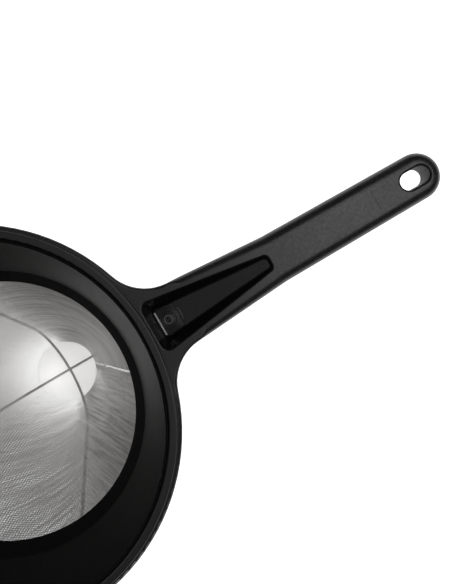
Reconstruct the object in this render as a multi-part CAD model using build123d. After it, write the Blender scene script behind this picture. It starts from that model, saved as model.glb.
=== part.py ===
from build123d import *
import math
import os

# Chinois strainer: a moulded ring and handle carry a conical filter collar, a woven
# steel cone clamped in the collar, and two crossing guard hoops round the cone.
# Millimetres. The origin is on the ring's axis in the plane of its underside, which is
# the seat that rests on a pot. +X runs along the handle, +Z points out of the mouth.
# Places on the ring and cone are given as a radius and a depth below the rim's top.

# Ring of the handle frame
mouth_radius = 100.0
ring_height = 20.0
bead_width = 4.2
bead_height = 1.8
bead_round = 0.8
shoulder_width = 2.7
edge_round = 1.6
skirt_draft_angle = 7.5
foot_round = 0.8
seat_width = 3.2
seat_clearance = 0.15
groove_height = 2.6

# Filter collar, a cone that drops into the ring
collar_drop = 0.9
collar_top_land = 1.3
collar_wall = 3.5
collar_edge_chamfer = 0.4
snap_lug_count = 4
snap_lug_width = 9.0
snap_lug_reach = 1.3
snap_lug_height = 2.0
snap_lug_gap = 0.3

# Lip below the collar's face, where a clamp ring grips the mesh
lip_top_radius = 82.8
lip_top_depth = 41.0
lip_bottom_radius = 76.1
lip_bottom_depth = 49.4
clamp_thickness = 1.9
clamp_nose_round = 0.7
ledge_thickness = 2.4
joint_gap = 0.1

# Woven cone and its dished tip
mesh_thickness = 0.5
crease_radius = 24.2
crease_depth = 189.5
tip_dish = 7.2
tip_lap = 5.0
seam_width = 3.0
seam_thickness = 0.35
seam_azimuth = -12.0

# Guard hoops
wire_diameter = 2.2
hoop_bend_radius = 46.0
guard_clearance = 0.6
weld_gap = 0.05
socket_depth = 11.0
socket_clearance = 0.1
socket_end_gap = 0.4

# Handle
handle_reach = 275.6
handle_lift = 1.0
neck_fillet = 25.0
neck_taper_angle = 4.1
neck_round = 4.2
throat_reach = 178.0
throat_half_width = 13.35
end_half_width = 12.4
grip_round = 6.0
root_overlap = 0.6

# Moulding pocket in the neck
pocket_wall = 1.0
pocket_end_inset = 2.2
pocket_cheek = 3.8
pocket_end_cheek = 8.95
pocket_depth = 12.5
pocket_end_depth = 2.6
pocket_corner_radius = 4.6
pocket_end_radius = 3.2
pocket_near_wall_run = 3.0
pocket_side_wall_run = 6.2
pocket_end_wall_run = 1.6
pocket_floor_corner_radius = 3.0
pocket_floor_end_radius = 1.6
pocket_floor_round = 1.4
pocket_lip_round = 0.6

# Raised pad with a plain date dial on the pocket's floor
pad_inset = 0.7
pad_length = 11.0
pad_half_width = 6.8
pad_height = 1.1
dial_inset = 5.2
dial_radius = 4.6
dial_hub_radius = 2.1
dial_line = 0.5
dial_depth = 0.35

# Bare plate and hang slot
plate_inset = 38.0
plate_length = 34.8
plate_half_width = 6.4
plate_depth = 0.25
plate_corner_radius = 0.8
slot_inset = 6.6
slot_length = 16.2
slot_width = 9.4
slot_lip_round = 1.3

# Pot rest opposite the handle
rest_straight = 0.55
rest_width = 20.0
rest_thickness = 5.5
rest_root_fillet = 3.5
rest_edge_chamfer = 0.9

# One length by which cutting tools run past what they cut
overrun = 4.0

# Sizes that follow from those above
bore_radius = mouth_radius + seat_clearance
bead_outer_radius = bore_radius + bead_width
ring_outer_radius = bead_outer_radius + shoulder_width
shoulder_height = ring_height - bead_height
collar_outer_radius = mouth_radius - seat_clearance
collar_inner_radius = collar_outer_radius - collar_top_land
foot_radius = ring_outer_radius - shoulder_height * math.tan(math.radians(skirt_draft_angle))
groove_radius = foot_radius - seat_width
wire_radius = wire_diameter / 2
handle_top = shoulder_height
handle_thickness = handle_top - handle_lift
end_centre = handle_reach - end_half_width
neck_slope = -math.tan(math.radians(neck_taper_angle))
pocket_start = bead_outer_radius + pocket_wall
pocket_reach = throat_reach - pocket_end_inset
pocket_half_width = throat_half_width + neck_slope * (pocket_start - throat_reach) - pocket_cheek
pocket_end_half_width = throat_half_width - pocket_end_cheek
floor_start = pocket_start + pocket_near_wall_run
floor_reach = pocket_reach - pocket_end_wall_run
floor_half_width = pocket_half_width - pocket_side_wall_run
floor_end_half_width = pocket_end_half_width - pocket_end_wall_run


def unit(point_from, point_to):
    """Direction from one (radius, height) point to another."""
    run = point_to[0] - point_from[0]
    rise = point_to[1] - point_from[1]
    length = math.hypot(run, rise)
    return run / length, rise / length


def outward(direction):
    """Normal of a downward section line, on the side away from the axis."""
    return -direction[1], direction[0]


def moved(point, direction, distance):
    return point[0] + direction[0] * distance, point[1] + direction[1] * distance


def crossing(point_a, direction_a, point_b, direction_b):
    """Where two section lines meet."""
    det = direction_a[0] * direction_b[1] - direction_a[1] * direction_b[0]
    gap = (point_b[0] - point_a[0], point_b[1] - point_a[1])
    distance = (gap[0] * direction_b[1] - gap[1] * direction_b[0]) / det
    return moved(point_a, direction_a, distance)


def turned(points, arc=360.0, azimuth=0.0):
    """A solid of revolution about the ring's axis from a (radius, height) outline."""
    edges = Polyline(*[(r, 0, z) for r, z in points], close=True)
    solid = revolve(Plane.XZ * make_face(Plane.XZ.to_local_coords(edges)), Axis.Z, arc)
    return Rot(0, 0, azimuth) * solid


# Section lines of the collar, the lip and the mesh, as (radius, height) points
collar_top = (collar_inner_radius, ring_height - collar_drop)
lip_top = (lip_top_radius, ring_height - lip_top_depth)
lip_bottom = (lip_bottom_radius, ring_height - lip_bottom_depth)
crease = (crease_radius, ring_height - crease_depth)
face_line = unit(collar_top, lip_top)
lip_line = unit(lip_top, lip_bottom)
face_normal = outward(face_line)
lip_normal = outward(lip_line)
back_point = moved(collar_top, face_normal, collar_wall)
clamp_back = clamp_thickness + joint_gap
ledge_face = clamp_back + mesh_thickness + joint_gap
ledge_back = ledge_face + ledge_thickness
mesh_mid = clamp_back + mesh_thickness / 2
mesh_bend = moved(lip_bottom, lip_normal, mesh_mid)
mesh_line = unit(mesh_bend, crease)
mesh_normal = outward(mesh_line)


def back_radius(height):
    """Radius of the collar's outer cone at a height."""
    return back_point[0] + face_line[0] / face_line[1] * (height - back_point[1])


def back_height(radius):
    """Height of the collar's outer cone at a radius."""
    return back_point[1] + face_line[1] / face_line[0] * (radius - back_point[0])


socket_radius = (back_radius(0) + seat_clearance + groove_radius) / 2


def hoop_lines(apex_height):
    """Bend centre, leg angle and bend end of a hoop whose wire centre dips to a height."""
    centre_height = apex_height + hoop_bend_radius
    drop = -centre_height
    lean = math.acos(hoop_bend_radius / math.hypot(socket_radius, drop))
    lean = lean - math.atan2(drop, socket_radius)
    bend_end = (
        hoop_bend_radius * math.cos(lean),
        centre_height - hoop_bend_radius * math.sin(lean),
    )
    return centre_height, lean, bend_end


tip_bottom = crease[1] - tip_dish - mesh_thickness
inner_apex = tip_bottom - guard_clearance - wire_radius
outer_apex = inner_apex - wire_diameter - weld_gap


def hoop_leg(apex_height, distance, radius, length):
    """A rod on a hoop's leg line, from a distance above the ring's underside downwards."""
    lean = hoop_lines(apex_height)[1]
    along = (math.sin(lean), 0, math.cos(lean))
    start = Vector(socket_radius, 0, 0) + Vector(along) * distance
    plane = Plane(origin=start, z_dir=tuple(-c for c in along))
    return extrude(plane * Circle(radius), amount=length)


def ring_body():
    """Ring section turned about the axis: bead, shoulder, skirt and conical seat.

    A groove inside the flat underside leaves room for the collar's lugs and the hoops.
    The skirt's upper edge stays sharp, because it is rounded together with the neck's.
    """
    seat_top = back_height(collar_outer_radius)
    outline = [
        (bore_radius, ring_height),
        (bore_radius, seat_top),
        (back_radius(groove_height) + seat_clearance, groove_height),
        (groove_radius, groove_height),
        (groove_radius, 0),
        (foot_radius, 0),
        (ring_outer_radius, shoulder_height),
        (bead_outer_radius, shoulder_height),
        (bead_outer_radius, ring_height),
    ]
    ring = turned(outline)
    circles = ring.edges().filter_by(GeomType.CIRCLE)
    top = circles.group_by(Axis.Z)[-1]
    ring = fillet(top, bead_round)
    circles = ring.edges().filter_by(GeomType.CIRCLE)
    foot = circles.filter_by(lambda e: abs(e.radius - foot_radius) < foot_round / 2)
    return fillet(foot.sort_by(Axis.Z)[0], foot_round)


def skirt_inset(height):
    """How far the ring's drafted wall stands in at a height from where it is widest."""
    return (shoulder_height - height) * math.tan(math.radians(skirt_draft_angle))


def flare(wall, half_width, slope, radius):
    """Side fillet between the ring's wall and a straight side that starts at a half width.

    Gives the fillet's centre and its ends on the wall and on the straight side.
    """
    stretch = math.hypot(1, slope)
    side = (1 / stretch, slope / stretch)
    normal = (-slope / stretch, 1 / stretch)
    offset = half_width / stretch + radius
    along = math.sqrt((wall + radius) ** 2 - offset**2)
    centre = (side[0] * along + normal[0] * offset, side[1] * along + normal[1] * offset)
    wall_share = wall / (wall + radius)
    wall_end = (centre[0] * wall_share, centre[1] * wall_share)
    side_end = moved(centre, normal, -radius)
    return centre, wall_end, side_end


def flared_root(half_width, slope, radius, inset, ending):
    """Plan of a root that flares out of the ring's wall and stands in from its widest outline.

    It starts with a stretch of the wall's arc. The ending takes the point where a straight
    side starts, and gives the lines from there on.
    """
    wall = ring_outer_radius - inset
    side_width = half_width - inset * math.hypot(1, slope)
    _, wall_end, side_end = flare(wall, side_width, slope, radius + inset)
    wall_start = (math.sqrt(wall**2 - (wall_end[1] + overrun) ** 2), wall_end[1] + overrun)
    half = [
        TangentArc(wall_end, wall_start, tangent=(-wall_end[1], wall_end[0])),
        TangentArc(side_end, wall_end, tangent=(-1, -slope)),
    ]
    half += ending(side_end)
    chord = Line(wall_start, (wall_start[0], -wall_start[1]))
    return make_face(half + [mirror(line, Plane.XZ) for line in half] + [chord])


def leaning_slab(plan_at, low, top, low_chamfer, top_chamfer=0):
    """A slab that leans in with the ring's wall, its edges chamfered, from inside that wall."""
    levels = [(low, low_chamfer), (low + low_chamfer, 0), (top - top_chamfer, 0)]
    if top_chamfer:
        levels.append((top, top_chamfer))
    plans = [Pos(0, 0, height) * plan_at(skirt_inset(height) + inset) for height, inset in levels]
    slab = loft([plan.face() for plan in plans], ruled=True)
    return slab - Cylinder(groove_radius + root_overlap, 2 * ring_height)


def ring_and_neck():
    """The ring with the flare that leads into the handle, their upper edge rounded as one."""
    axis_half_width = throat_half_width - neck_slope * throat_reach

    def straight_run(start):
        end = (start[0] + overrun, start[1] + neck_slope * overrun)
        return [Line(start, end), Line(end, (end[0], 0))]

    def neck_plan(inset):
        return flared_root(axis_half_width, neck_slope, neck_fillet, inset, straight_run)

    slab = leaning_slab(neck_plan, handle_lift, handle_top, edge_round)
    side_start = flare(ring_outer_radius, axis_half_width, neck_slope, neck_fillet)[2][0]
    neck_end = side_start + overrun / 2
    slab -= Pos(neck_end + ring_height, 0) * Box(
        2 * ring_height, 2 * ring_outer_radius, 2 * ring_height
    )
    body = ring_body() + slab
    top = body.edges().filter_by(lambda e: abs(e.center().Z - handle_top) < bead_round / 2)
    sides = top.filter_by(GeomType.LINE).filter_by(lambda e: abs(e.center().Y) > overrun)
    rims = top.filter_by(GeomType.CIRCLE)
    rims = rims.filter_by(lambda e: abs(e.radius - bead_outer_radius) > bead_round / 2)
    return fillet(rims + sides, edge_round)


def grip_section(reach, half_width, corner):
    """Rounded cross-section of the handle at a reach."""
    middle = handle_lift + handle_thickness / 2
    plane = Plane(origin=(reach, 0, middle), x_dir=(0, 1, 0), z_dir=(1, 0, 0))
    return plane * RectangleRounded(2 * half_width, handle_thickness, corner)


def grip_body(neck_face):
    """Handle lofted from the neck's end through the throat, closed by a turned round end."""
    neck_end = neck_face.center().X
    grip_share = 0.45
    shoulder_reach = neck_end + neck_round
    shoulder_half_width = throat_half_width + neck_slope * (shoulder_reach - throat_reach)
    sections = [
        neck_face,
        grip_section(shoulder_reach, shoulder_half_width, neck_round),
        grip_section(throat_reach, throat_half_width, grip_round),
    ]
    body = loft(sections, ruled=True)
    far_reach = throat_reach + (end_centre - throat_reach) * grip_share
    far_half_width = throat_half_width + (end_half_width - throat_half_width) * grip_share
    sections = [
        grip_section(throat_reach, throat_half_width, grip_round),
        grip_section(far_reach, far_half_width, grip_round),
        grip_section(end_centre, end_half_width, grip_round),
    ]
    body += loft(sections, ruled=True)
    half = grip_section(end_centre, end_half_width, grip_round)
    half &= Pos(end_centre, end_half_width, ring_height / 2) * Box(
        overrun, 2 * end_half_width, 2 * ring_height
    )
    axis = Axis((end_centre, 0, 0), (0, 0, 1))
    return body + revolve(half, axis, -180)


def pocket_floor(reach):
    """Height of the pocket's sloping floor at a reach."""
    slope = (pocket_depth - pocket_end_depth) / (floor_reach - floor_start)
    return handle_top - pocket_depth + slope * (reach - floor_start)


def below_floor(start, end, half_width, lift, low):
    """A block from a low height up to a lift above the pocket's sloping floor."""
    side = [
        (start, 0, pocket_floor(start) + lift),
        (end, 0, pocket_floor(end) + lift),
        (end, 0, low),
        (start, 0, low),
    ]
    return extrude(make_face(Polyline(*side, close=True)), amount=half_width, both=True)


def tapered_outline(start, end, half_width, end_half_width, corner, end_corner):
    """A four-sided outline along X with its two near and two far corners rounded."""
    plan = [(start, half_width), (end, end_half_width), (end, -end_half_width), (start, -half_width)]
    face = make_face(Polyline(*plan, close=True))
    face = fillet(face.vertices().group_by(Axis.X)[0], corner)
    return fillet(face.vertices().group_by(Axis.X)[-1], end_corner)


def pocket_mouth():
    """The pocket's outline in the top of the neck, wide at the ring and narrow at its end."""
    outline = tapered_outline(
        pocket_start,
        pocket_reach,
        pocket_half_width,
        pocket_end_half_width,
        pocket_corner_radius,
        pocket_end_radius,
    )
    return Pos(0, 0, handle_top) * outline


def neck_pocket():
    """The pocket as a solid: leaning walls from its mouth down to the sloping floor."""
    rise = pocket_floor(floor_reach) - pocket_floor(floor_start)
    length = math.hypot(floor_reach - floor_start, rise)
    floor = tapered_outline(
        0,
        length,
        floor_half_width,
        floor_end_half_width,
        pocket_floor_corner_radius,
        pocket_floor_end_radius,
    )
    slope = math.degrees(math.atan2(rise, floor_reach - floor_start))
    floor = Pos(floor_start, 0, pocket_floor(floor_start)) * Rot(0, -slope, 0) * floor
    hollow = loft([floor.face(), pocket_mouth().face()], ruled=True)
    bottom = hollow.faces().sort_by(Axis.Z)[0]
    hollow = fillet(bottom.edges(), pocket_floor_round)
    return hollow + extrude(pocket_mouth(), amount=overrun)


def date_pad():
    """Low pad on the pocket's floor with a plain round dial sunk in it."""
    start = floor_start + pad_inset
    end = start + pad_length
    pad = below_floor(start, end, pad_half_width, pad_height, handle_lift + pocket_wall)
    dial_reach = start + dial_inset
    slope = math.atan2(pocket_floor(end) - pocket_floor(start), pad_length)
    along = (math.cos(slope), 0, math.sin(slope))
    up = (-math.sin(slope), 0, math.cos(slope))
    origin = (dial_reach, 0, pocket_floor(dial_reach) + pad_height)
    plane = Plane(origin=origin, x_dir=along, z_dir=up)
    for radius in (dial_radius, dial_hub_radius):
        ring = Circle(radius) - Circle(radius - dial_line)
        pad -= extrude(plane * ring, amount=-dial_depth)
    return pad


def edges_along(solid, face):
    """Edges of a solid that run along the outline of a flat face."""
    outline = face.wires()[0]

    def follows(edge):
        return all(outline.distance_to(edge @ share) < joint_gap for share in (0, 1 / 2, 1))

    return solid.edges().filter_by(follows)


def handle_frame():
    """Ring and handle, one moulding."""
    frame = ring_and_neck()
    frame += grip_body(frame.faces().sort_by(Axis.X)[-1])
    frame += rest_tongue()
    frame -= neck_pocket()
    frame = fillet(edges_along(frame, pocket_mouth()), pocket_lip_round)
    frame += date_pad()
    plate_centre = handle_reach - plate_inset - plate_length / 2
    plate = RectangleRounded(plate_length, 2 * plate_half_width, plate_corner_radius)
    frame -= extrude(Pos(plate_centre, 0, handle_top) * plate, amount=-plate_depth)
    slot_centre = handle_reach - slot_inset - slot_length / 2
    slot = Pos(slot_centre, 0, handle_top) * SlotOverall(slot_length, slot_width)
    frame -= extrude(slot, amount=2 * handle_thickness, both=True)
    lips = edges_along(frame, slot) + edges_along(frame, Pos(0, 0, -handle_thickness) * slot)
    frame = fillet(lips, slot_lip_round)
    for apex, turn in ((inner_apex, 90), (outer_apex, 0)):
        for half_turn in (0, 180):
            bore = hoop_leg(apex, socket_depth, wire_radius + socket_clearance, socket_depth + overrun)
            frame -= Rot(0, 0, turn + half_turn) * bore
    return frame


def tongue_plan(inset):
    """Plan of the rest tongue, which has its full size at the height of its top."""
    half_width = rest_width / 2 + skirt_inset(rest_thickness)

    def round_end(start):
        end = (start[0] + rest_straight, start[1])
        return [Line(start, end), TangentArc(end, (end[0] + end[1], 0), tangent=(1, 0))]

    return flared_root(half_width, 0, rest_root_fillet, inset, round_end)


def rest_tongue():
    """Short tongue opposite the handle that rests on the far rim of a pot."""
    slab = leaning_slab(tongue_plan, 0, rest_thickness, foot_round, rest_edge_chamfer)
    return Rot(0, 0, 180) * slab


def filter_collar():
    """Conical collar that drops into the ring's seat, with snap lugs below it."""
    ledge_root = crossing(
        moved(lip_top, lip_normal, ledge_back), lip_line, back_point, face_line
    )
    outline = [
        (collar_outer_radius, ring_height - collar_drop),
        collar_top,
        lip_top,
        moved(lip_top, lip_normal, ledge_face),
        moved(lip_bottom, lip_normal, ledge_face),
        moved(lip_bottom, lip_normal, ledge_back),
        ledge_root,
        (collar_outer_radius, back_height(collar_outer_radius)),
    ]
    collar = turned(outline)
    outer = collar.edges().filter_by(GeomType.CIRCLE).group_by(Axis.Z)[-1]
    collar = chamfer(outer, collar_edge_chamfer)
    lug_top = groove_height - snap_lug_gap
    lug_low = lug_top - snap_lug_height
    lug = [
        (back_radius(lug_top) - collar_wall / 2, lug_top),
        (back_radius(lug_top) + snap_lug_reach, lug_top),
        (back_radius(lug_low), lug_low),
        (back_radius(lug_low) - collar_wall / 2, lug_low),
    ]
    lug_arc = math.degrees(snap_lug_width / back_radius(0))
    for index in range(snap_lug_count):
        azimuth = (index + 1 / 2) * 360 / snap_lug_count - lug_arc / 2
        collar += turned(lug, lug_arc, azimuth)
    return collar


def clamp_ring():
    """Ring that presses the mesh's turned edge against the collar's ledge."""
    outline = [
        lip_top,
        lip_bottom,
        moved(lip_bottom, lip_normal, clamp_thickness),
        moved(lip_top, lip_normal, clamp_thickness),
    ]
    ring = turned(outline)
    nose = ring.edges().filter_by(GeomType.CIRCLE).sort_by(lambda e: e.radius)[0]
    return fillet(nose, clamp_nose_round)


def mesh_cone():
    """Woven cone with its top edge turned out under the clamp ring, and a lapped seam."""
    half = mesh_thickness / 2
    edge_mid = moved(lip_top, lip_normal, mesh_mid)
    end_mid = crease
    bend_in = crossing(
        moved(edge_mid, lip_normal, -half), lip_line, moved(end_mid, mesh_normal, -half), mesh_line
    )
    bend_out = crossing(
        moved(edge_mid, lip_normal, half), lip_line, moved(end_mid, mesh_normal, half), mesh_line
    )
    outline = [
        moved(edge_mid, lip_normal, -half),
        bend_in,
        moved(end_mid, mesh_normal, -half),
        moved(end_mid, mesh_normal, half),
        bend_out,
        moved(edge_mid, lip_normal, half),
    ]
    cone = turned(outline)
    return cone + mesh_seam()


def mesh_seam():
    """Lap seam that runs down the inside of the cone from the lip to the tip."""
    top = moved(mesh_bend, mesh_line, clamp_thickness)
    length = math.hypot(crease[0] - top[0], crease[1] - top[1]) - tip_lap / 2
    inset = mesh_thickness / 2 + seam_thickness / 2 - joint_gap
    start = moved(top, mesh_normal, -inset)
    plane = Plane(
        origin=(start[0], 0, start[1]), x_dir=(0, 1, 0), z_dir=(mesh_line[0], 0, mesh_line[1])
    )
    strip = extrude(plane * Rectangle(seam_width, seam_thickness), amount=length)
    return Rot(0, 0, seam_azimuth) * strip


def mesh_tip():
    """Dished tip whose skirt laps the cone's end."""
    half = mesh_thickness / 2
    corner = moved(crease, mesh_normal, mesh_thickness + joint_gap)
    skirt_top = moved(corner, mesh_line, -tip_lap)
    dish_radius = (corner[0] ** 2 + tip_dish**2) / (2 * tip_dish)
    dish_centre = corner[1] - tip_dish + dish_radius
    inner_corner = moved(corner, mesh_normal, -half)
    outer_corner = moved(corner, mesh_normal, half)
    inner_radius = dish_radius - half
    outer_radius = dish_radius + half
    inner_edge = dish_point(dish_centre, inner_radius, inner_corner[0])
    outer_edge = dish_point(dish_centre, outer_radius, outer_corner[0])
    lines = [
        Line(section(moved(skirt_top, mesh_normal, -half)), section(inner_edge)),
        dish_arc(dish_centre, inner_radius, inner_edge),
        Line(
            section((0, dish_centre - inner_radius)), section((0, dish_centre - outer_radius))
        ),
        dish_arc(dish_centre, outer_radius, outer_edge),
        Line(section(outer_edge), section(moved(skirt_top, mesh_normal, half))),
        Line(
            section(moved(skirt_top, mesh_normal, half)),
            section(moved(skirt_top, mesh_normal, -half)),
        ),
    ]
    return revolve(make_face(lines), Axis.Z)


def section(point):
    """A (radius, height) point in the plane that is turned about the axis."""
    return point[0], 0, point[1]


def dish_point(centre, radius, reach):
    return reach, centre - math.sqrt(radius**2 - reach**2)


def dish_arc(centre, radius, edge):
    """Arc of the dished tip from its edge to the axis."""
    middle = dish_point(centre, radius, edge[0] / 2)
    return ThreePointArc(section(edge), section(middle), section((0, centre - radius)))


def guard_hoop(apex_height, azimuth):
    """Round wire hoop: two straight legs joined by one bend under the cone's tip."""
    centre_height, lean, bend_end = hoop_lines(apex_height)
    along = (math.sin(lean), math.cos(lean))
    top = moved((socket_radius, 0), along, socket_depth - socket_end_gap)
    right_leg = Line(section(top), section(bend_end))
    bend = ThreePointArc(
        section(bend_end), section((0, apex_height)), section((-bend_end[0], bend_end[1]))
    )
    left_leg = Line(section((-bend_end[0], bend_end[1])), section((-top[0], top[1])))
    path = Wire([right_leg, bend, left_leg])
    plane = Plane(origin=section(top), z_dir=section((-along[0], -along[1])))
    hoop = sweep(plane * Circle(wire_radius), path)
    return Rot(0, 0, azimuth) * hoop


os.makedirs("parts", exist_ok=True)
nodes = {
    "handle_frame": handle_frame(),
    "filter_collar": filter_collar(),
    "mesh_clamp_ring": clamp_ring(),
    "mesh_cone": mesh_cone(),
    "mesh_tip": mesh_tip(),
    "guard_hoop_across": guard_hoop(inner_apex, 90),
    "guard_hoop_along": guard_hoop(outer_apex, 0),
}
for name, shape in nodes.items():
    export_step(shape, f"parts/{name}.step")
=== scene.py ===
import math
import bmesh
import bpy
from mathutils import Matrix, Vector, noise


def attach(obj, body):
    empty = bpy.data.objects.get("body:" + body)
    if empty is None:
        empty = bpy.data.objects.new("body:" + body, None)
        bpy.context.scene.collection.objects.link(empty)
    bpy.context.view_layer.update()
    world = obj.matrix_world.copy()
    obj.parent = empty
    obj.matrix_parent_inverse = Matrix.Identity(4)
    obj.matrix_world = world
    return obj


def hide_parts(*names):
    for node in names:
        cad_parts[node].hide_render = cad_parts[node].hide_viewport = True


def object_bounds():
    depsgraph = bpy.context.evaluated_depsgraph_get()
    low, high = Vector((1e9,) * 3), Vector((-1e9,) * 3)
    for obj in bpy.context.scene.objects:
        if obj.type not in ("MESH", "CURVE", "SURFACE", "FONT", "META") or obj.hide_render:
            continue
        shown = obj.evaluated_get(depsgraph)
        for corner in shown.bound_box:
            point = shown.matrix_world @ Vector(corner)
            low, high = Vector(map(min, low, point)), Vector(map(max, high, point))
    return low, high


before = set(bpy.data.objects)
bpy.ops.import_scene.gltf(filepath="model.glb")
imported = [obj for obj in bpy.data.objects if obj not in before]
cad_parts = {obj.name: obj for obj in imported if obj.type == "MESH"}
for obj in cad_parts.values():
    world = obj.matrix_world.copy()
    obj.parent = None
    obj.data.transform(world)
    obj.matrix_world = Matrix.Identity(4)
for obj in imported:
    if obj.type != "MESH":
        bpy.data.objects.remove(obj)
cad_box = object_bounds()


# Ring and handle: one moulding of black glass-filled polyamide with a fine dull grain.
# The plate by the hang slot is paler and the slot's wall rougher. The pocket in the
# neck is painted darker as shade, with a small pad and the rings of a date dial on its
# floor; the pad's front edge and the dial's hub line are painted pale as highlights.
class Signal:
    """A shader socket that takes part in sums: each operator adds a Math node."""

    def __init__(self, finish, socket):
        self.finish = finish
        self.socket = socket

    def math(self, operation, *others):
        values = dict(enumerate((self, *others)))
        return self.finish.node("Math", {"operation": operation}, values)

    def __add__(self, other):
        return self.math("ADD", other)

    def __mul__(self, other):
        return self.math("MULTIPLY", other)

    def __sub__(self, other):
        return self.math("SUBTRACT", other)

    def __rsub__(self, other):
        return self.math("MULTIPLY", -1.0) + other

    def __truediv__(self, other):
        return self.math("DIVIDE", other)

    def __pow__(self, other):
        return self.math("POWER", other)

    def __abs__(self):
        return self.math("ABSOLUTE")

    __radd__ = __add__
    __rmul__ = __mul__

    def rise(self, low, high):
        """From 0 at low to 1 at high, eased at both ends."""
        values = {"Value": self, "From Min": low, "From Max": high}
        return self.finish.node("MapRange", {"interpolation_type": "SMOOTHSTEP"}, values)


class Finish:
    """A material in the making. Every node comes from node(): type, settings, sockets."""

    def __init__(self, name):
        self.material = bpy.data.materials.new(name)
        self.material.use_nodes = True
        self.material.node_tree.nodes.clear()

    def node(self, kind, settings=None, sockets=None, output=0):
        tree = self.material.node_tree
        made = tree.nodes.new("ShaderNode" + kind)
        for setting, value in (settings or {}).items():
            setattr(made, setting, value)
        for socket, value in (sockets or {}).items():
            if isinstance(value, Signal):
                tree.links.new(value.socket, made.inputs[socket])
            else:
                made.inputs[socket].default_value = value
        return Signal(self, made.outputs[output] if made.outputs else None)

    def axes(self, vector):
        """The three parts of a vector."""
        split = self.node("SeparateXYZ", sockets={"Vector": vector})
        return [Signal(self, socket) for socket in split.socket.node.outputs]

    def place(self, stretch=(1, 1, 1)):
        """Object coordinates, stretched per axis."""
        spot = self.node("TexCoord", output="Object")
        return self.node("Mapping", sockets={"Vector": spot, "Scale": stretch})

    def cloud(self, vector, scale, detail=2.0, roughness=0.5):
        """Noise about half way between 0 and 1."""
        values = {"Vector": vector, "Scale": scale, "Detail": detail, "Roughness": roughness}
        return self.node("TexNoise", sockets=values)

    def blend(self, factor, low_colour, high_colour):
        """From one colour at factor 0 to another at 1."""
        return self.node("Mix", {"data_type": "RGBA"}, {0: factor, 6: low_colour, 7: high_colour}, 2)

    def bump(self, height, distance, strength=1.0):
        return self.node("Bump", sockets={"Height": height, "Distance": distance, "Strength": strength})

    def close(self, **sockets):
        """Ends the material with a Principled shader."""
        named = {name.replace("_", " "): value for name, value in sockets.items()}
        shader = self.node("BsdfPrincipled", sockets=named)
        self.node("OutputMaterial", sockets={"Surface": shader})
        return self.material


def grey(level, warmth=0.0):
    return (level * (1 + warmth), level, level * (1 - warmth), 1)


def moulded_black(name, dark, pale, dull, sharp):
    """Finish, colour, roughness and relief of the black moulding compound."""
    patch_scale = 55
    scuff_scale = 600
    grain_scale = 1300
    fibre_stretch = (160, 1500, 1500)
    finish = Finish(name)
    spot = finish.place()
    patches = finish.cloud(spot, patch_scale, 3.0)
    scuffs = finish.cloud(spot, scuff_scale, 4.0, 0.7).rise(0.32, 0.68)
    grain = finish.cloud(spot, grain_scale, 2.0, 0.6)
    fibres = finish.cloud(finish.place(fibre_stretch), 1.0, 2.0)
    colour = finish.blend(patches * 0.3 + scuffs * 0.3 + grain * 0.4, grey(dark), grey(pale))
    roughness = sharp + (dull - sharp) * (patches * 0.3 + scuffs * 0.4 + fibres * 0.3)
    return finish, colour, roughness, grain * 0.7 + fibres * 0.3


def moulded_relief(finish, height):
    grain_depth = 0.00006
    grain_strength = 0.55
    return finish.bump(height, grain_depth, grain_strength)


handle_top = 0.0182
mark_edge = 0.0003


def within(distance, limit):
    """1 where the distance is under its limit and 0 past it, with a narrow soft edge."""
    return 1 - distance.rise(limit - mark_edge, limit + mark_edge)


def below_lip(up):
    """1 below the rounded lip that a pocket or slot has in the top face."""
    lip_depth = 0.0009
    return within(up, handle_top - lip_depth)


def plate_area(along, across, up):
    centre = 0.2202
    half_length = 0.0174
    half_width = 0.0064
    top_reach = 0.0025
    near_top = 1 - within(up, handle_top - top_reach)
    return within(abs(along - centre), half_length) * within(abs(across), half_width) * near_top


def pocket_area(along, across, up):
    """The pocket's floor and walls; it narrows towards the grip."""
    start = 0.10535
    end = 0.1758
    half_width = 0.01476
    taper = 0.147
    under_floor = 0.0025
    inside = within(abs(across) + (along - start) * taper, half_width)
    inside = inside * (1 - within(along, start)) * within(along, end)
    return inside * below_lip(up) * (1 - within(up, under_floor))


def pad_front_highlight(along, across):
    """The front edge of the small pad, where a pale line is painted as a highlight."""
    front = 0.1092
    half_width = 0.0066
    half_thickness = 0.00045
    return within(abs(along - front), half_thickness) * within(abs(across), half_width)


def dial_marks(along, across):
    """The date dial's hub line, painted pale as a highlight, and the height of the rings turned round
    it.
    """
    centre = 0.11425
    hub = 0.0021
    reach = 0.008
    ring_pitch = 0.0011
    from_centre = ((along - centre) ** 2 + across ** 2) ** 0.5
    rings = (from_centre * (2 * math.pi / ring_pitch)).math("SINE")
    return within(abs(from_centre - hub), mark_edge), within(from_centre, reach) * rings


def slot_wall(along, across, up):
    centre = 0.2609
    half_straight = 0.0034
    radius = 0.0047
    past_straight = (abs(along - centre) - half_straight).math("MAXIMUM", 0.0)
    from_middle = (past_straight ** 2 + across ** 2) ** 0.5
    return within(from_middle, radius + mark_edge) * below_lip(up)


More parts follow.
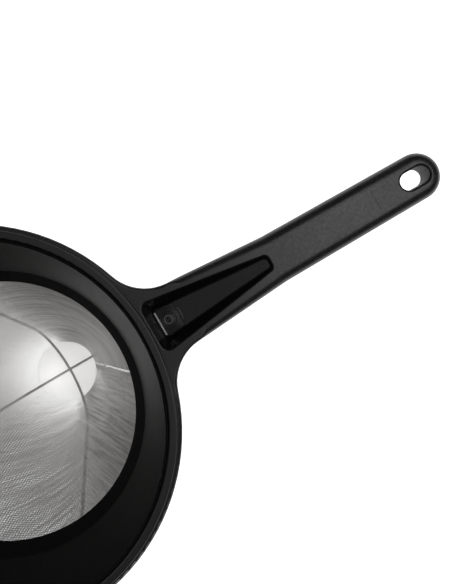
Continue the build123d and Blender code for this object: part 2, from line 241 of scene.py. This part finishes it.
def handle_black():
    plate_grey = 0.034
    pocket_shade_grey = 0.003
    hub_highlight_grey = 0.12
    pad_front_highlight_grey = 0.55
    plate_dulling = 0.05
    pocket_polish = 0.06
    slot_dulling = 0.25
    ring_height = 1.5
    finish, colour, roughness, height = moulded_black(
        "handle_black", dark=0.006, pale=0.014, dull=0.5, sharp=0.2
    )
    along, across, up = finish.axes(finish.place())
    plate = plate_area(along, across, up)
    pocket = pocket_area(along, across, up)
    hub_highlight, rings = dial_marks(along, across)
    colour = finish.blend(plate, colour, grey(plate_grey))
    # Painted shade: the pocket's floor and walls are coloured near black.
    colour = finish.blend(pocket, colour, grey(pocket_shade_grey))
    # Painted highlight: a pale ring on the dial's hub line.
    colour = finish.blend(pocket * hub_highlight, colour, grey(hub_highlight_grey))
    # Painted highlight: a pale line along the pad's front edge.
    colour = finish.blend(pocket * pad_front_highlight(along, across), colour, grey(pad_front_highlight_grey))
    roughness = roughness + plate * plate_dulling - pocket * pocket_polish
    return finish.close(
        Base_Color=colour,
        Roughness=roughness + slot_wall(along, across, up) * slot_dulling,
        Normal=moulded_relief(finish, height + pocket * rings * ring_height),
        IOR=1.47,
    )


def dress(node, material):
    """Puts a material on every slot of a part from the frame."""
    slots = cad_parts[node].material_slots
    for slot in slots:
        slot.material = material
    if not slots:
        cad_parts[node].data.materials.append(material)


dress("handle_frame", handle_black())


# Filter collar: a black conical insert of the same compound that drops into the ring
# and snaps in under it. Its face is a shade darker and more even than the handle.
def even_black(name, dark, pale, dull, sharp, light_bend):
    """The moulding compound with no marks on it."""
    finish, colour, roughness, height = moulded_black(name, dark, pale, dull, sharp)
    normal = moulded_relief(finish, height)
    return finish.close(Base_Color=colour, Roughness=roughness, Normal=normal, IOR=light_bend)


collar_black = even_black(
    "collar_black", dark=0.004, pale=0.009, dull=0.36, sharp=0.26, light_bend=1.11
)
dress("filter_collar", collar_black)


# Clamp ring: the steep band at the foot of the collar, of the same compound, coloured
# darker than it as painted shade in the concave band. It is pressed in over the mesh's
# turned edge and holds it against the collar's ledge.
clamp_shaded_black = even_black(
    "clamp_shaded_black", dark=0.002, pale=0.004, dull=0.8, sharp=0.65, light_bend=1.2
)
dress("mesh_clamp_ring", clamp_shaded_black)


# Woven cone: fine stainless wire cloth, cut as a sector, rolled up and lapped along one
# side. The threads run square to each other in the flat sector, along and across the
# seam. The top edge turns out under the clamp ring.
cloth_thickness = 0.0001
edge_point = Vector((0.08456, -0.0224))
bend_point = Vector((0.07786, -0.0308))
crease_point = Vector((0.0242, -0.1695))
seam_azimuth = math.radians(-13)
lap_width = 0.004
lap_step = 0.0004
cone_slope = (crease_point - bend_point).normalized()
sector_share = -cone_slope.x
slant_at_crease = crease_point.x / sector_share
slant_at_bend = slant_at_crease + (crease_point - bend_point).length
slant_at_edge = slant_at_bend + (edge_point - bend_point).length


def dents(x, y, z):
    """Slight hand-formed unevenness of the cloth, from -1 to 1."""
    broad_count = 38
    fine_count = 90
    spot = Vector((x, y, z))
    return noise.noise(spot * broad_count) * 0.7 + noise.noise(spot * fine_count) * 0.3


def tucked(turn):
    """From 0 to 1 where the last bit of the turn steps in behind the first, to lap it."""
    tuck_start = 0.97
    tuck_turn = 0.02
    share = max(0.0, min(1.0, (turn - tuck_start) / tuck_turn))
    return share * share * (3 - 2 * share)


def rolled_cloth():
    """A flat grid rolled up into the cone, with the flat sector as its UV map."""
    columns = 320
    turned_rows = 3
    cone_rows = 60
    dent_depth = 0.0003
    rows = turned_rows + cone_rows
    cloth = bmesh.new()
    uv = cloth.loops.layers.uv.new("cloth")
    bmesh.ops.create_grid(cloth, x_segments=columns, y_segments=rows, size=1.0)
    flat = {}
    for vert in cloth.verts:
        turn = (vert.co.x + 1) / 2
        row = (1 - vert.co.y) / 2 * rows
        if row < turned_rows:
            share = row / turned_rows
            radius, height = edge_point.lerp(bend_point, share)
            slant = slant_at_edge + (slant_at_bend - slant_at_edge) * share
        else:
            share = (row - turned_rows) / cone_rows
            radius, height = bend_point.lerp(crease_point, share)
            slant = slant_at_bend + (slant_at_crease - slant_at_bend) * share
        lap_angle = lap_width / radius
        azimuth = seam_azimuth - lap_angle + turn * (2 * math.pi + lap_angle)
        radius -= lap_step * tucked(turn)
        x = radius * math.cos(azimuth)
        y = radius * math.sin(azimuth)
        free = math.sin(math.pi * max(0.0, (row - turned_rows) / cone_rows))
        swell = 1 + dent_depth * free * dents(x, y, height) / radius
        vert.co = (x * swell, y * swell, height)
        angle = (azimuth - seam_azimuth - 2 * math.pi) * sector_share
        flat[vert] = (slant * math.cos(angle), slant * math.sin(angle))
    for face in cloth.faces:
        face.smooth = True
        for loop in face.loops:
            loop[uv].uv = flat[loop.vert]
    return cloth


def piece(name, shape, material, replaced=()):
    """Turns a bmesh into a piece of the object that rides on its body."""
    mesh = bpy.data.meshes.new(name)
    shape.to_mesh(mesh)
    shape.free()
    made = bpy.data.objects.new(name, mesh)
    bpy.context.scene.collection.objects.link(made)
    mesh.materials.append(material)
    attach(made, "root")
    for node in replaced:
        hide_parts(node)
    return made


def thicken(made, thickness):
    shell = made.modifiers.new("thickness", "SOLIDIFY")
    shell.thickness = thickness
    shell.offset = 0


def cone_sides(finish, slant):
    """How far a spot lies on the dull, drawn, upper and lower sides of the cone.

    The dull side lies round the seam and is painted shade in woven_steel, with a painted
    highlight left as a stripe at the seam itself; woven_steel also paints the lower side
    darker as shade. On the drawn side rolling pulled the threads together. Near the tip it
    is much wider.
    """
    drawn_azimuth = math.radians(10)
    seam_painted_highlight = 0.45
    tip_slant = 0.07
    wall_slant = 0.14
    radius = slant * sector_share
    east, north = finish.axes(finish.place())[:2]

    def toward(azimuth):
        return (east * math.cos(azimuth) + north * math.sin(azimuth)) / radius

    toward_seam = toward(seam_azimuth)
    # Painted shade on the side round the seam, eased at the seam itself for a painted highlight stripe.
    dull = toward_seam.rise(-0.1, 0.7) - toward_seam.rise(0.85, 1.0) * seam_painted_highlight
    near_tip = 1 - slant.rise(tip_slant, wall_slant)
    drawn_tip = toward_seam.rise(0.0, 0.6) * near_tip
    drawn = toward(drawn_azimuth).rise(0.25, 0.9).math("MAXIMUM", drawn_tip)
    upper = (north / radius).math("MAXIMUM", 0.0)
    lower = (1 - (north / radius).rise(-0.5, 0.1)) * (1 - dull)
    return dull, drawn, upper, lower


def streaks(finish, flat, length, width):
    """Bundles of threads that lie a little closer or brighter, from -0.5 to 0.5."""
    bundle = {"Vector": flat, "Scale": (length, width, 1)}
    laid = finish.node("Mapping", {"vector_type": "TEXTURE"}, bundle)
    return finish.cloud(laid, 1.0, 3.0, 0.65).rise(0.3, 0.7) - 0.5


def woven_steel(name, wall_share, tip_share, drawn_share, dark, pale):
    """Plain-woven wire cloth: round wires with holes between them, on the flat sector.

    The shares are the part of the pitch that a wire covers: high up the wall, at the tip,
    and what is added on the drawn side. The ripple is the faint check that two sets of
    fine threads show together.
    """
    pitch = 0.00055
    ripple_pitch = 0.0024
    bundle_width = 0.0021
    warp_length = 0.06
    weft_length = 0.04
    open_slant = 0.06
    closed_slant = 0.136
    wander_scale = 130
    wander_share = 0.6
    soft = 0.08
    weave_depth = 0.0002
    finish = Finish(name)
    flat = finish.node("UVMap", {"uv_map": "cloth"})
    along, across = finish.axes(flat)[:2]
    slant = (along * along + across * across) ** 0.5
    dull, drawn, upper, lower = cone_sides(finish, slant)
    closing = (wall_share - tip_share) * (1.08 - upper * 0.5)
    share = tip_share + closing * slant.rise(open_slant, closed_slant) + drawn * drawn_share
    warp_streaks = streaks(finish, flat, warp_length, bundle_width) * (1 - lower * 0.85)
    weft_streaks = streaks(finish, flat, bundle_width, weft_length) * (0.6 + lower * 1.6)
    ripple_count = 2 * math.pi / ripple_pitch
    ripple = (along * ripple_count).math("SINE") * (across * ripple_count).math("SINE")
    wander = (finish.cloud(flat, wander_scale, 2.0) - 0.5) * wander_share

    def threads(crossed, streak):
        """How far a spot is from the middle of its thread, and how well that covers it."""
        from_middle = abs((crossed / pitch + wander).math("FRACT") - 0.5) * 2
        covered = share * (1 + streak * 0.4 + ripple * 0.5)
        return from_middle, 1 - (from_middle - covered + soft).rise(0.0, 2 * soft)

    from_warp, warp = threads(across, warp_streaks)
    from_weft, weft = threads(along, weft_streaks)
    height = (1 - from_warp * from_warp).math("MAXIMUM", 1 - from_weft * from_weft)
    tone = 0.5 + warp_streaks * 0.5 + weft_streaks * 0.35 + ripple * 0.2
    # Painted shade: the dull side darker, more so high up the cone, and the lower side darker; then the
    # warp streaks are put back over the painted shade.
    tone = tone * (1 - dull * (0.33 + slant * 1.7)) * (1 - lower * 0.45)
    tone = tone + warp_streaks * dull * 0.22
    return finish.close(
        Base_Color=finish.blend(tone, grey(dark, 0.03), grey(pale, 0.025)),
        Metallic=1.0,
        Roughness=0.4 + tone * 0.14,
        Alpha=warp.math("MAXIMUM", weft),
        Normal=finish.bump(height, weave_depth, 0.6),
    )


cone_cloth = woven_steel(
    "cone_cloth", wall_share=0.52, tip_share=0.13, drawn_share=0.33, dark=0.13, pale=0.92
)
woven_cone = piece("woven_cone", rolled_cloth(), cone_cloth, ["mesh_cone"])
thicken(woven_cone, cloth_thickness)


# Seam bead: the lap is spot-welded and tinned along its edge, which leaves a narrow
# pale bead down the inside of the cone. Its colour also glows, as a painted highlight, so
# the bead stays bright and its pale lumps show as painted glints. Well down the cone it
# swells to a dull knot of solder, and below the knot the tin is thinner.
knot_share = 0.62
knot_place = bend_point.lerp(crease_point, knot_share)


def bead_tin_painted_glow():
    knot_reach = 0.0024
    change = 0.0008
    lump_scale = 700
    lump_depth = 0.0003
    finish = Finish("seam_tin_painted_glow")
    spot = finish.place()
    lumps = finish.cloud(spot, lump_scale, 2.0)
    above_knot = finish.axes(spot)[2] - knot_place.y
    knot = 1 - abs(above_knot).rise(knot_reach - change, knot_reach + change)
    thin_tin = finish.blend(lumps.rise(0.4, 0.6), grey(0.22, 0.02), grey(0.8, 0.02))
    thick_tin = finish.blend(lumps.rise(0.35, 0.65), grey(0.5, 0.02), grey(0.95, 0.01))
    knot_tin = finish.blend(lumps.rise(0.45, 0.55), grey(0.05, 0.02), grey(0.8, 0.02))
    colour = finish.blend(above_knot.rise(-change, change), thin_tin, thick_tin)
    colour = finish.blend(knot, colour, knot_tin)
    return finish.close(
        Base_Color=colour,
        Metallic=0.35,
        # Painted highlight: the bead's own colour glows, so its pale lumps show as glints.
        Emission_Color=colour,
        Emission_Strength=0.5,
        Roughness=0.3 + lumps * 0.25,
        Normal=finish.bump(lumps, lump_depth, 0.7),
    )


def seam_bead():
    """A narrow strip laid on the cone's inner face along the seam."""
    width = 0.0012
    crown_height = 0.00025
    lift = 0.00045
    segments = 240
    first_share = 0.01
    length_share = 0.97
    knot_length = 0.0018
    knot_height_share = 4
    knot_width_share = 2.6
    wobble_count = 46
    stray = 0.0003
    stray_count = 9
    strip = bmesh.new()
    bmesh.ops.create_grid(strip, x_segments=2, y_segments=segments, size=1.0)
    inward = Vector((cone_slope.y, -cone_slope.x))
    for vert in strip.verts:
        share = (vert.co.y + 1) / 2
        crown = 1 - abs(vert.co.x)
        middle = bend_point.lerp(crease_point, first_share + length_share * share)
        wobble = noise.noise(Vector((share * wobble_count, 0, 0)))
        knot = math.exp(-(((middle - knot_place).length / knot_length) ** 2))
        thickness = crown * crown_height * (1 + wobble + knot_height_share * knot)
        inside = middle + inward * (lift + thickness)
        side = vert.co.x * width / 2 * (1 + 0.5 * wobble + knot_width_share * knot)
        side += stray * noise.noise(Vector((share * stray_count, 5, 0)))
        azimuth = seam_azimuth + side / inside.x
        vert.co = (inside.x * math.cos(azimuth), inside.x * math.sin(azimuth), inside.y)
    for face in strip.faces:
        face.smooth = True
    return strip


bead = piece("seam_bead", seam_bead(), bead_tin_painted_glow())
thicken(bead, cloth_thickness)


# Tip: a dished cap of the same cloth, pressed to shape and joined to the cone's end by a
# short skirt. Its threads lie straight across it, and its weave is the most open. Its
# wires are painted much paler than the cone's, as painted light on the bright tip.
def dished_cap():
    """A profile from the middle of the dish up the skirt, turned about the axis."""
    dish_depth = 0.0072
    dish_points = 14
    skirt_length = 0.0001
    skirt_offset = 0.00012
    columns = 96
    merge_distance = 0.00001
    least_reach = 0.001
    outward = Vector((-cone_slope.y, cone_slope.x))
    corner = crease_point + outward * skirt_offset
    skirt_end = corner - cone_slope * skirt_length
    dish_radius = (corner.x ** 2 + dish_depth ** 2) / (2 * dish_depth)
    cap = bmesh.new()
    uv = cap.loops.layers.uv.new("cloth")
    profile = []
    for index in range(dish_points + 1):
        reach = corner.x * index / dish_points
        sag = dish_radius - math.sqrt(dish_radius ** 2 - reach ** 2)
        profile.append(cap.verts.new((reach, 0, corner.y - dish_depth + sag)))
    profile.append(cap.verts.new((skirt_end.x, 0, skirt_end.y)))
    edges = [cap.edges.new(pair) for pair in zip(profile, profile[1:])]
    bmesh.ops.spin(
        cap,
        geom=profile + edges,
        cent=(0, 0, 0),
        axis=(0, 0, 1),
        angle=2 * math.pi,
        steps=columns,
        use_merge=True,
    )
    bmesh.ops.remove_doubles(cap, verts=cap.verts, dist=merge_distance)
    bmesh.ops.recalc_face_normals(cap, faces=cap.faces)
    for face in cap.faces:
        face.smooth = True
        for loop in face.loops:
            spot = loop.vert.co
            climbed = max(0.0, spot.z - corner.y)
            stretch = 1 + climbed / max(math.hypot(spot.x, spot.y), least_reach)
            loop[uv].uv = (spot.x * stretch, spot.y * stretch)
    return cap


# Painted light: the tip's wires are coloured paler than the cone's.
tip_cloth_painted_light = woven_steel(
    "tip_cloth_painted_light", wall_share=0.24, tip_share=0.24, drawn_share=0.0, dark=0.5, pale=0.95
)
woven_tip = piece("woven_tip", dished_cap(), tip_cloth_painted_light, ["mesh_tip"])
thicken(woven_tip, cloth_thickness)


# Guard hoops: two bends of drawn stainless wire that cross under the tip and keep it
# off the bottom of the pot. Their ends are pushed into the ring's sockets.
def drawn_wire():
    mark_scale = 600
    mark_depth = 0.00004
    finish = Finish("drawn_wire")
    marks = finish.cloud(finish.place(), mark_scale, 3.0)
    return finish.close(
        Base_Color=finish.blend(marks, grey(0.28, 0.02), grey(0.42, 0.02)),
        Metallic=1.0,
        Roughness=0.24 + marks * 0.16,
        Normal=finish.bump(marks, mark_depth, 0.5),
    )


hoop_steel = drawn_wire()
dress("guard_hoop_across", hoop_steel)
dress("guard_hoop_along", hoop_steel)


# Studio: an evenly bright white table just under the tip, a strong soft panel overhead on
# the handle's side, a weaker one across from it and a faint one between them, dark
# surroundings, and a camera that looks straight down.
studio = bpy.context.scene


def white_table():
    patch_scale = 3
    finish = Finish("white_table")
    tone = finish.cloud(finish.place(), patch_scale, 1.0)
    return finish.close(
        Base_Color=finish.blend(tone, grey(0.86), grey(0.9)),
        Roughness=0.9,
        Emission_Color=(1, 1, 1, 1),
        Emission_Strength=1.1,
    )


def pale_floor():
    gap = 0.002
    half_width = 3.0
    shape = bmesh.new()
    bmesh.ops.create_grid(shape, x_segments=1, y_segments=1, size=half_width)
    bmesh.ops.translate(shape, verts=shape.verts, vec=(0, 0, cad_box[0].z - gap))
    mesh = bpy.data.meshes.new("floor")
    shape.to_mesh(mesh)
    shape.free()
    mesh.materials.append(white_table())
    made = bpy.data.objects.new("floor", mesh)
    studio.collection.objects.link(made)


def soft_panel(name, middle, width, depth, radiance):
    """A panel that shines straight down, with the same brightness whatever its size."""
    light = bpy.data.lights.new(name, "AREA")
    light.shape = "RECTANGLE"
    light.size = width
    light.size_y = depth
    light.energy = radiance * math.pi * width * depth
    made = bpy.data.objects.new(name, light)
    made.location = middle
    studio.collection.objects.link(made)


pale_floor()
soft_panel("key_panel", (0.52, -0.06, 0.84), width=0.62, depth=0.8, radiance=2.4)
soft_panel("fill_panel", (-0.7, 0.05, 0.8), width=0.4, depth=0.6, radiance=1.8)
soft_panel("top_panel", (-0.05, 0.0, 0.8), width=0.5, depth=0.9, radiance=0.3)
studio.world = bpy.data.worlds.new("surroundings")
studio.world.use_nodes = True
studio.world.node_tree.nodes["Background"].inputs["Color"].default_value = grey(0.05)
studio.view_settings.view_transform = "Standard"

camera_lens = bpy.data.cameras.new("camera")
camera_lens.lens = 37.28
camera_lens.sensor_width = 36
camera_lens.shift_x = 0.0068
camera_lens.shift_y = -0.0394
camera = bpy.data.objects.new("camera", camera_lens)
camera.location = (0.152, 0.009, 0.327)
camera.rotation_euler = (0, 0, math.radians(-30))
studio.collection.objects.link(camera)
studio.camera = camera
